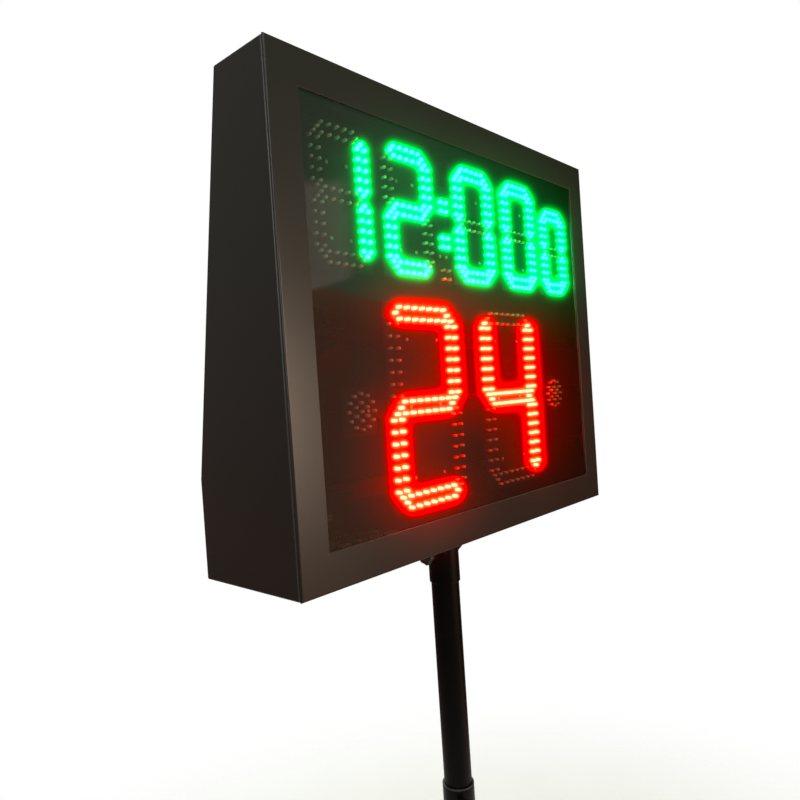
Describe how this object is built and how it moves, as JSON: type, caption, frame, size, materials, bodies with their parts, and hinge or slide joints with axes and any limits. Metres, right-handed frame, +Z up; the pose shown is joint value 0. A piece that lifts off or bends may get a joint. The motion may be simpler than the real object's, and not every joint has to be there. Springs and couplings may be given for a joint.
{
  "type": "shot clock",
  "caption": "Free-standing sports shot clock: wedge-shaped steel cabinet with smoked window and LED digits, on a telescopic mast with a weighted floor plate.",
  "frame": {"origin": "on the floor under the mast's axis, at the middle of the floor plate", "axes": "+Z up along the mast; the display faces -Y; +X to the right of someone who reads it"},
  "size_m": [0.82, 0.6, 1.95],
  "materials": {
    "cabinet_paint": "satin",
    "mast_paint": "gloss",
    "smoked_window": "gloss",
    "seal_rubber": "matte",
    "zinc_steel": "satin",
    "rail_aluminium": "satin",
    "green_led_board": "satin",
    "red_led_board": "satin",
    "black_plastic": "satin",
    "red_plastic": "gloss",
    "electronics": "satin"
  },
  "bodies": {
    "base": {"floor_plate": "mast_paint", "foot_front_left": "seal_rubber", "foot_front_right": "seal_rubber", "foot_back_left": "seal_rubber", "foot_back_right": "seal_rubber", "lower_tube": "mast_paint", "mast_liner": "black_plastic"},
    "mast_knob": {"mast_knob": "zinc_steel"},
    "mast_upper": {"upper_tube": "mast_paint", "mast_end_cap": "black_plastic", "guide_bush": "black_plastic"},
    "head": {"cabinet_shell": "cabinet_paint", "front_bezel": "cabinet_paint", "bezel_gasket": "seal_rubber", "window": "smoked_window", "window_clip_bottom": "zinc_steel", "window_clip_top": "zinc_steel", "window_clip_left": "zinc_steel", "window_clip_right": "zinc_steel", "minute_tens_board": "green_led_board", "minute_units_board": "green_led_board", "colon_board": "green_led_board", "second_tens_board": "green_led_board", "second_units_board": "green_led_board", "tenths_board": "green_led_board", "shot_tens_board": "red_led_board", "shot_units_board": "red_led_board", "left_lamp_board": "red_led_board", "right_lamp_board": "red_led_board", "clock_upper_rail": "rail_aluminium", "clock_lower_rail": "rail_aluminium", "shot_upper_rail": "rail_aluminium", "shot_middle_rail": "rail_aluminium", "shot_lower_rail": "rail_aluminium", "back_panel": "cabinet_paint", "horn": "black_plastic", "hatch_hinge_leaf": "cabinet_paint", "hatch_hinge_pin": "zinc_steel", "mains_inlet": "black_plastic", "switch_housing": "black_plastic", "power_supply": "electronics", "control_board": "electronics", "radio_module": "electronics", "socket_backing_plate": "zinc_steel", "mast_socket": "mast_paint"},
    "head_knob": {"head_knob": "black_plastic"},
    "hatch": {"service_hatch": "cabinet_paint", "hatch_lock_barrel": "zinc_steel"},
    "hatch_lock": {"hatch_lock_core": "zinc_steel"},
    "rocker": {"switch_rocker": "red_plastic"}
  },
  "joints": [
    {"name": "mast_slide", "type": "slide", "parent": "base", "child": "mast_upper", "axis": [0, 0, 1], "range_m": [-0.34, 0.15]},
    {"name": "mast_knob_turn", "type": "hinge", "parent": "base", "child": "mast_knob", "pos_m": [0, 0, 0.767], "axis": [-0.7071, -0.7071, 0], "range_deg": [0, 540]},
    {"name": "head_swivel", "type": "hinge", "parent": "mast_upper", "child": "head", "pos_m": [0, 0, 1.2], "axis": [0, 0, 1], "range_deg": [-180, 180]},
    {"name": "head_knob_turn", "type": "hinge", "parent": "head", "child": "head_knob", "pos_m": [0, 0, 1.21], "axis": [-1, 0, 0], "range_deg": [0, 540]},
    {"name": "hatch_swing", "type": "hinge", "parent": "head", "child": "hatch", "pos_m": [-0.19, 0.1108, 1.372], "axis": [1, 0, 0], "range_deg": [0, 110]},
    {"name": "hatch_lock_turn", "type": "hinge", "parent": "hatch", "child": "hatch_lock", "pos_m": [-0.19, 0.11, 1.294], "axis": [0, 1, 0], "range_deg": [0, 90]},
    {"name": "power_rocker", "type": "hinge", "parent": "head", "child": "rocker", "pos_m": [0.27, 0.1098, 1.324], "axis": [1, 0, 0], "range_deg": [0, 24]}
  ]
}
